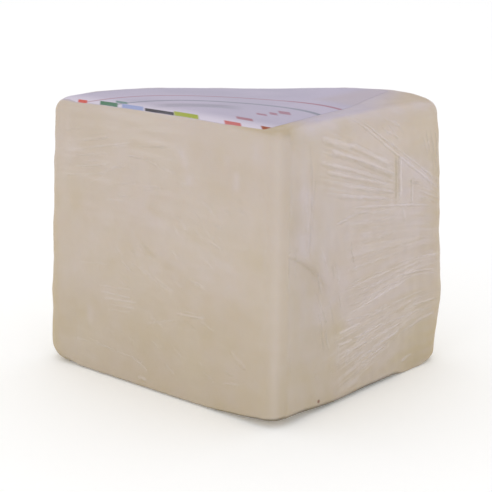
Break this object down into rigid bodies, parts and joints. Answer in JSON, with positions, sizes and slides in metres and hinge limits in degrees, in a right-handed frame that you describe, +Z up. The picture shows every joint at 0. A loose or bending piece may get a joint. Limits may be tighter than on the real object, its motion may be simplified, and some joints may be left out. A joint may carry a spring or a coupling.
{
  "type": "kashkaval",
  "caption": "Hand-cut quarter of a pale kashkaval wheel with flat cut faces, a round rind at the back, a paper label on the top and clear cling film around it.",
  "frame": {"origin": "centre of the box around the wedge, at the level of the flat foot it stands on", "axes": "+X to the right across the two rind corners, +Y from the tip of the wedge towards the rind, +Z up out of the labelled top"},
  "size_m": [0.1796, 0.1244, 0.1253],
  "materials": {
    "cheese": "smooth pale ivory cheese paste, straw-coloured at the rind",
    "label": "matt off-white paper with thin printed rings and plain colour fields",
    "film": "clear stretched cling film with fine tension folds"
  },
  "bodies": {
    "root": {"cheese": "cheese", "label": "label", "film": "film"}
  },
  "joints": []
}
